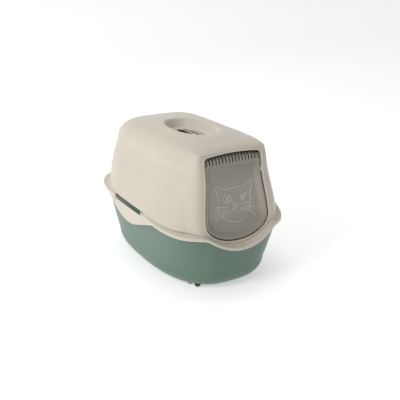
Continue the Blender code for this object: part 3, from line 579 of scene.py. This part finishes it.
def latch_mesh(name, side):
    slot_low = 0.1850
    inner = LATCH_HALF - 0.006
    places = np.concatenate((np.linspace(-LATCH_HALF, -inner, 4)[:-1], np.linspace(-inner, inner, 41),
                             np.linspace(inner, LATCH_HALF, 4)[1:]))
    verts, faces, index = [], [], {}
    for i, y in enumerate(places):
        face_x = rim_side(y + LATCH_Y) - LATCH_INSET
        bottom = RIM_LEVEL - float(drop(HALF, y + LATCH_Y)) - float(apron(HALF, y + LATCH_Y))
        round_top = 0.0045 * max(0.0, 1 - (inner - abs(y)) / 0.0045) ** 2 if abs(y) <= inner else 0.0
        tab_top = slot_low + (round_top if abs(y) < inner else 0)
        levels = [bottom, bottom + 0.0008] + list(np.linspace(bottom + 0.0008, tab_top, 8))[1:]
        if abs(y) >= inner - 1e-9:
            levels += [tab_top + (foot_level(y + LATCH_Y) - 0.0016 - tab_top) * s for s in (0.4, 0.8, 1.0)]
        for k, z in enumerate(levels):
            index[i, k] = len(verts)
            swell = 0.0003 if 0 < k else 0.0
            verts.append((side * (face_x + swell - 0.0003), y + LATCH_Y, z))
    for i in range(len(places) - 1):
        for k in range(12):
            corners = [(i, k), (i + 1, k), (i + 1, k + 1), (i, k + 1)]
            if all(c in index for c in corners):
                faces.append(tuple(index[c] for c in corners)[::side])
    plate = mesh_object(name, verts, faces, smooth=0)
    solidify(plate, WALL)
    soft = plate.modifiers.new("soft", "BEVEL")
    soft.width, soft.segments, soft.limit_method, soft.angle_limit = 0.0006, 2, "ANGLE", math.radians(50)
    settle(plate)
    return finish_shading(plate, 50)


latches = [latch_mesh(name, side) for name, side in (("latch_left_body", -1), ("latch_right_body", 1))]
print("latches", [len(o.data.polygons) for o in latches])

# %% [markdown]
# ## The door
# A rounded lip runs round the flap, inside it a sloping band leads down to a sunk panel. The top
# ends in a comb of curved ribs that roll back to the hinge axis.

# %% Build the flap
SETBACK, GAP, ROLL = 0.003, 0.0030, 0.016
FLAP_TOP = hinge_local.z - 0.0065
PANEL_DEPTH = 0.0106
FLAP_WALL, RIB_WIDTH, ROLL_END = 0.0022, 0.0066, math.radians(112)
PROFILE = ((0.0004, 0.0030), (0.0000, 0.0014), (0.0006, 0.0004), (0.0018, 0.0000), (0.0042, 0.0001),
           (0.0058, 0.0008), (0.0090, 0.0030), (0.0130, 0.0064), (0.0160, 0.0088), (0.0176, 0.0101),
           (0.0188, PANEL_DEPTH))
flap_rows = []
for pull, depth in PROFILE:
    ring = door_outline(GAP + pull, FLAP_TOP - pull * 0.30, 0.0, 0.0035, fine=5)
    flap_rows.append([(x, SETBACK + depth, h) for x, h in ring])
verts, faces = skin([[DOOR @ Vector(p) for p in row] for row in flap_rows])
count = len(flap_rows[0])
faces.append(tuple(range((len(flap_rows) - 1) * count, len(flap_rows) * count)))
flap = mesh_object("flap", verts, faces, smooth=0)
solidify(flap, FLAP_WALL)
settle(flap)
finish_shading(flap, 50)
print("flap", len(flap.data.polygons), "faces")

# %% [markdown]
# ### The comb, as Geometry Nodes
# One rib is drawn as an arc round the hinge axis. A node tree copies it along the axis and lowers
# each copy to follow the arch of the doorway, then the result is kept as a plain mesh.

# %% One rib


def rib_rows(width):
    rows = []
    path = [(0, -0.0105), (0, -0.004)] + [(t, 0) for t in np.linspace(0, ROLL_END, 13)]
    for t, straight in path:
        out, up = -math.cos(t), math.sin(t)
        rows.append([((dx * width, out * (ROLL - inset), up * (ROLL - inset) + straight))
                     for dx, inset in ((-0.5, 0.0022), (-0.5, 0.0005), (-0.36, 0), (0.36, 0), (0.5, 0.0005),
                                       (0.5, 0.0022))])
    return rows


rib = mesh_object("rib", *skin(rib_rows(RIB_WIDTH), True, True), smooth=0)
finish_shading(rib, 50)


def add_node(tree, kind, settings=(), links=()):
    """A node with its settings, and links from (node, socket) into its inputs."""
    node = tree.nodes.new(kind)
    for key, value in dict(settings).items():
        if isinstance(key, str) and hasattr(node, key):
            setattr(node, key, value)
        else:
            node.inputs[key].default_value = value
    for target, source in dict(links).items():
        tree.links.new(source[0].outputs[source[1]], node.inputs[target])
    return node


def comb_tree():
    tree = bpy.data.node_groups.new("comb", "GeometryNodeTree")
    for name, kind in (("Geometry", "NodeSocketGeometry"), ("Count", "NodeSocketInt"),
                       ("Pitch", "NodeSocketFloat"), ("Arch", "NodeSocketFloat"), ("Rib", "NodeSocketObject"),
                       ("Finish", "NodeSocketMaterial")):
        tree.interface.new_socket(name=name, in_out="INPUT", socket_type=kind)
    tree.interface.new_socket(name="Geometry", in_out="OUTPUT", socket_type="NodeSocketGeometry")
    given = tree.nodes.new("NodeGroupInput")
    less = add_node(tree, "ShaderNodeMath", {"operation": "SUBTRACT", 1: 1.0}, {0: (given, "Count")})
    span = add_node(tree, "ShaderNodeMath", {"operation": "MULTIPLY"}, {0: (less, 0), 1: (given, "Pitch")})
    start = add_node(tree, "ShaderNodeMath", {"operation": "MULTIPLY", 1: -0.5}, {0: (span, 0)})
    first = add_node(tree, "ShaderNodeCombineXYZ", {}, {"X": (start, 0)})
    offset = add_node(tree, "ShaderNodeCombineXYZ", {}, {"X": (given, "Pitch")})
    line = add_node(tree, "GeometryNodeMeshLine", {"mode": "OFFSET"},
                    {"Count": (given, "Count"), "Start Location": (first, 0), "Offset": (offset, 0)})
    place = add_node(tree, "GeometryNodeInputPosition")
    part = add_node(tree, "ShaderNodeSeparateXYZ", {}, {0: (place, 0)})
    square = add_node(tree, "ShaderNodeMath", {"operation": "MULTIPLY"}, {0: (part, "X"), 1: (part, "X")})
    lower = add_node(tree, "ShaderNodeMath", {"operation": "MULTIPLY"}, {0: (square, 0), 1: (given, "Arch")})
    height = add_node(tree, "ShaderNodeMath", {"operation": "SUBTRACT", 0: 1.0}, {1: (lower, 0)})
    size = add_node(tree, "ShaderNodeCombineXYZ", {"X": 1.0, "Y": 1.0}, {"Z": (height, 0)})
    shape = add_node(tree, "GeometryNodeObjectInfo", {}, {"Object": (given, "Rib")})
    copies = add_node(tree, "GeometryNodeInstanceOnPoints", {},
                      {"Points": (line, 0), "Instance": (shape, "Geometry"), "Scale": (size, 0)})
    real = add_node(tree, "GeometryNodeRealizeInstances", {}, {0: (copies, 0)})
    paint = add_node(tree, "GeometryNodeSetMaterial", {}, {0: (real, 0), "Material": (given, "Finish")})
    out = tree.nodes.new("NodeGroupOutput")
    tree.links.new(paint.outputs[0], out.inputs[0])
    return tree


# %% Copy the rib along the hinge
RIBS, PITCH = 16, 0.0098
smoke = bpy.data.materials.new("smoked_plastic")
host = mesh_object("comb", [(0, 0, 0)], [], smooth=0)
step = host.modifiers.new("comb", "NODES")
step.node_group = comb_tree()
sockets = {s.name: s.identifier for s in step.node_group.interface.items_tree if s.in_out == "INPUT"}
for key, value in (("Count", RIBS), ("Pitch", PITCH), ("Arch", ARCH / ROLL / DOOR_TOP ** 2), ("Rib", rib),
                   ("Finish", smoke)):
    step[sockets[key]] = value
settle(host)
HINGE = DOOR @ Matrix.Translation(hinge_local)
host.matrix_world = HINGE
bpy.data.objects.remove(rib)
print("comb", len(host.data.polygons), "faces")

# %% [markdown]
# ### Ends, back bar and pins of the door
# A cheek closes the roll at each end, a bar ties the ribs together behind, and a pin on each side
# turns in the hood's socket.

# %% Finish the flap
END = DOOR_TOP - GAP
parts = [flap, host]


def round_bar(name, x0, x1, radius, squash=1.0, sides=32):
    """A round bar along the hinge axis with softened ends."""
    rows, way = [], np.sign(x1 - x0)
    for x, size in ((x0, radius * 0.86), (x0 + 0.0006 * way, radius), (x1 - 0.0006 * way, radius),
                    (x1, radius * 0.86)):
        rows.append([HINGE @ Vector((x, size * math.cos(t), size * math.sin(t) * squash))
                     for t in np.linspace(0, 2 * math.pi, sides, endpoint=False) * way])
    return mesh_object(name, *skin(rows, True, True))


end_squash = 1 - ARCH / ROLL
for side in (-1, 1):
    parts.append(round_bar("cheek", side * (END - 0.004), side * END, ROLL, squash=end_squash))
    parts.append(round_bar("pin", side * (END - 0.002), side * (END + 0.0045), 0.003, sides=20))
BAR_START, BAR_OUTER, BAR_INNER = math.radians(84), ROLL - 0.0003, ROLL - 0.0024
rear = []
for x in np.linspace(-END, END, 33):
    drop_z = 1 - ARCH / ROLL * (x / DOOR_TOP) ** 2
    rear.append([HINGE @ Vector((x, -math.cos(t) * r, math.sin(t) * r * drop_z)) for t, r in
                 ((BAR_START, BAR_OUTER), (ROLL_END, BAR_OUTER), (ROLL_END, BAR_INNER),
                  (BAR_START, BAR_INNER))])
parts.append(mesh_object("back_bar", *skin(rear, True, True)))
door = join("door_body", parts)
bm = bmesh.new()
bm.from_mesh(door.data)
bmesh.ops.recalc_face_normals(bm, faces=bm.faces)
bm.to_mesh(door.data)
bm.free()
finish_shading(door, 45)
print("door", len(door.data.polygons), "faces")

# %% [markdown]
# ### The cat's face
# A fine raised line draws a cat's head on the panel: ears, cheeks, eyes, nose and whiskers. Each line
# is a smooth curve through a few points given in millimetres across and up the panel.

# %% Draw the relief
FACE = {
    "head": ((-14, 133), (-21, 134.5), (-36, 140), (-53, 146), (-52, 134), (-49, 124), (-47.5, 111),
             (-50.5, 96), (-49, 80), (-40, 66), (-27, 55), (-13, 49.5)),
    "crown": ((-12, 134), (-3, 135.5), (7, 136.2), (17, 136), (25, 135)),
    "ear": ((29, 133), (40, 138.5), (52, 144), (60.5, 146), (58, 134), (53, 121), (51, 112), (52.5, 102),
            (52, 93), (49, 83), (43, 72), (37, 64)),
    "chin": ((-8, 47.5), (1, 45.8), (13, 46.3), (24, 51)),
    "eye_left": ((-32, 111), (-27, 117), (-20, 119.5), (-12, 115), (-6, 104.5), (-13, 101), (-21, 99.5),
                 (-28, 103), (-32, 111)),
    "eye_right": ((19, 103), (22, 110), (29, 114.5), (38.5, 116), (36, 108), (31, 101.5), (24, 100),
                  (19, 103)),
    "pupil_left": ((-19, 115), (-22.5, 109), (-19.5, 103.5), (-16.5, 109), (-19, 115)),
    "pupil_right": ((28, 111.5), (25, 106.5), (28, 102.5), (30.5, 107), (28, 111.5)),
    "nose": ((-8, 93), (-1, 91), (5.5, 90.5), (11.5, 93)),
    "nose_line": ((3.5, 90.5), (4, 85), (8.5, 81)),
    "mouth": ((4, 85), (-2, 80.5), (-9, 80)),
    "mark": ((-13.5, 74), (-10.5, 73.5)),
    "whiskers": ((-64, 93), (-42, 91.5), (-20, 87)),
    "whiskers_2": ((-40, 71), (-28, 77), (-17.5, 80)),
    "whiskers_3": ((-72, 75), (-62, 78), (-53.5, 79)),
    "whiskers_4": ((-59, 57), (-52, 62), (-46, 64.5)),
    "whiskers_5": ((24, 88), (37, 90.5), (49.5, 90)),
    "whiskers_6": ((26, 79.7), (45, 78.5), (63.5, 74)),
    "whiskers_7": ((19.5, 77), (34, 73.5), (48, 67), (64.5, 51)),
}


def smooth_line(points, steps=7):
    """A Catmull-Rom curve through the points."""
    pts = [np.array(p, float) for p in points]
    closed = np.allclose(pts[0], pts[-1])
    ends = (pts[-2], pts[1]) if closed else (2 * pts[0] - pts[1], 2 * pts[-1] - pts[-2])
    pts = [ends[0]] + pts + [ends[1]]
    line = []
    for a, b, c, d in zip(pts, pts[1:], pts[2:], pts[3:]):
        for t in np.linspace(0, 1, steps, endpoint=False):
            bend, twist = 2 * a - 5 * b + 4 * c - d, 3 * b - a - 3 * c + d
            line.append(0.5 * (2 * b + (c - a) * t + bend * t * t + twist * t ** 3))
    line.append(pts[-2])
    return line


LINE_RADIUS, LINE_FLAT = 0.0012, 0.7
lines = []
for points in FACE.values():
    curve = [(x / 1000, SETBACK + PANEL_DEPTH, h / 1000) for x, h in smooth_line(points)]
    lines.append(bead("face_line", curve, LINE_RADIUS, flat=LINE_FLAT, place=DOOR))
relief = finish_shading(join("cat_relief", lines), 60)
print("relief", len(relief.data.polygons), "faces")

# %% [markdown]
# ## Filter
# The filter's holder and its black pad keep the shape of the CAD part. They sit out of sight under
# the vents, where the pad shows black through the slots.

# %% Filter pieces
holder, pad = frame["nodes"]["filter_holder"], frame["nodes"]["filter_pad"]

# %% [markdown]
# ## Materials
# The tray and hood are injection moulded polypropylene: a satin surface with the fine grain of an
# eroded mould and faint flow in its colour. The door is smoked styrene, glossy and see-through, and
# the pad is charcoal felt. Scales are set from real sizes: the grain is about half a millimetre.

# %% Material helpers


def linear(code):
    """sRGB hex to linear."""
    values = [int(code[i:i + 2], 16) / 255 for i in (0, 2, 4)]
    return tuple(v / 12.92 if v <= 0.04045 else ((v + 0.055) / 1.055) ** 2.4 for v in values) + (1.0,)


def moulded(material, code, rough, grain=1900.0, depth=0.00003, settings=()):
    """Moulded plastic: flow marks in the colour, uneven gloss, and fine grain."""
    material.use_nodes = True
    tree = material.node_tree
    shader = tree.nodes["Principled BSDF"]
    shader.inputs["Base Color"].default_value = linear(code)
    for key, value in dict(settings).items():
        shader.inputs[key].default_value = value
    where = add_node(tree, "ShaderNodeTexCoord")
    flow = add_node(tree, "ShaderNodeTexNoise", {"Scale": 9.0, "Detail": 3.0, "Roughness": 0.55},
                    {"Vector": (where, "Object")})
    tint = add_node(tree, "ShaderNodeMix", {"data_type": "RGBA"}, {0: (flow, 0)})
    base = linear(code)
    tint.inputs[6].default_value = tuple(c * 0.965 for c in base[:3]) + (1,)
    tint.inputs[7].default_value = tuple(min(c * 1.035, 1) for c in base[:3]) + (1,)
    tree.links.new(tint.outputs[2], shader.inputs["Base Color"])
    haze = add_node(tree, "ShaderNodeTexNoise", {"Scale": 38.0, "Detail": 4.0},
                    {"Vector": (where, "Object")})
    gloss = add_node(tree, "ShaderNodeMapRange", {"To Min": rough - 0.04, "To Max": rough + 0.05},
                     {0: (haze, 0)})
    tree.links.new(gloss.outputs[0], shader.inputs["Roughness"])
    fine = add_node(tree, "ShaderNodeTexNoise", {"Scale": grain, "Detail": 2.0},
                    {"Vector": (where, "Object")})
    relief_node = add_node(tree, "ShaderNodeBump", {"Strength": 0.35, "Distance": depth},
                           {"Height": (fine, 0)})
    tree.links.new(relief_node.outputs[0], shader.inputs["Normal"])
    return material


# %% Make the materials
soft = {"Subsurface Weight": 0.06, "Subsurface Radius": (1.0, 0.9, 0.8), "Subsurface Scale": 0.003}
sage = moulded(bpy.data.materials.new("sage_polypropylene"), "5D7567", 0.40, settings=soft)
cream = moulded(bpy.data.materials.new("cream_polypropylene"), "C9C1B2", 0.36, settings=soft)
moulded(smoke, "AAA599", 0.20, grain=700.0, depth=0.00002,
        settings={"Transmission Weight": 0.25, "IOR": 1.49, "Coat Weight": 0.5, "Coat Roughness": 0.06})
# The cat's face lines are the same smoked plastic as the door, given a lighter, less see-through copy of it:
# a painted highlight for raised lines that catch the light from above.
painted_highlight_smoke = moulded(bpy.data.materials.new("smoked_relief_painted_highlight"), "CFCBC0", 0.28, grain=700.0,
                     settings={"Transmission Weight": 0.15, "IOR": 1.49})
felt = moulded(bpy.data.materials.new("charcoal_felt"), "101011", 0.95, grain=900.0, depth=0.0006)
print("materials", [m.name for m in bpy.data.materials])


def dress(obj, material, body=None, node=None):
    obj.data.materials.clear()
    obj.data.materials.append(material)
    if body:
        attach(obj, body)
    if node:
        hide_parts(node)


dress(tray, sage, "tray", "tray")
dress(hood, cream, "hood", "hood")
dress(door, smoke, "door", "door_flap")
# The face lines wear the lighter copy of the smoke, a painted highlight.
dress(relief, painted_highlight_smoke, "door")
for latch, name in zip(latches, ("latch_left", "latch_right")):
    dress(latch, cream, name, name)
dress(holder, cream)
dress(pad, felt)

# %% [markdown]
# ## Floor, light and camera
# A pale sweep stands in for a studio table. A large soft lamp on the left lights the long side, a
# weaker one from above fills the roof, and the world adds an even white.

# %% Floor
floor_rows = []
for y, z in ((-6.0, 0.0), (2.2, 0.0), (2.9, 0.12), (3.4, 0.5), (3.7, 1.1), (3.8, 6.0)):
    floor_rows.append([(x, y, z) for x in (-7.0, 7.0)])
floor = mesh_object("floor", *skin(floor_rows, loop=False), smooth=60)
paper = bpy.data.materials.new("studio_paper")
moulded(paper, "F2F2F2", 0.9, grain=300.0, depth=0.00001,
        settings={"Emission Color": (1, 1, 1, 1), "Emission Strength": 0.42})
floor.data.materials.append(paper)


def lamp(name, place, target, size, energy, colour=(1, 1, 1)):
    data = bpy.data.lights.new(name, "AREA")
    data.shape, data.size, data.energy, data.color = "DISK", size, energy, colour
    made = bpy.data.objects.new(name, data)
    bpy.context.scene.collection.objects.link(made)
    made.location = place
    made.rotation_euler = (Vector(target) - Vector(place)).to_track_quat("-Z", "Y").to_euler()
    return made


middle = (0, 0, 0.18)
lamp("key", (-2.7, -0.5, 1.7), middle, 1.6, 43)
lamp("top", (0.2, 0.5, 2.8), middle, 2.2, 17)
lamp("fill", (1.9, -2.2, 1.0), middle, 1.6, 2)
world = bpy.data.worlds.new("studio")
bpy.context.scene.world = world
world.use_nodes = True
world.node_tree.nodes["Background"].inputs["Color"].default_value = (1, 1, 1, 1)
world.node_tree.nodes["Background"].inputs["Strength"].default_value = 0.36

# %% Camera
camera = bpy.data.objects.new("camera", bpy.data.cameras.new("camera"))
bpy.context.scene.collection.objects.link(camera)
azimuth, elevation, distance = math.radians(-30.379), math.radians(20.716), 1.8436
flat = math.cos(elevation)
back = Vector((math.sin(azimuth) * flat, -math.cos(azimuth) * flat, math.sin(elevation)))
camera.location = Vector((0.0159, 0, 0.1609)) + back * distance
camera.rotation_euler = (-back).to_track_quat("-Z", "Y").to_euler()
camera.data.lens, camera.data.shift_x = 56.83, 0.0196
bpy.context.scene.camera = camera
bpy.context.scene.view_settings.view_transform = "Standard"
print("camera", [round(v, 3) for v in camera.location])
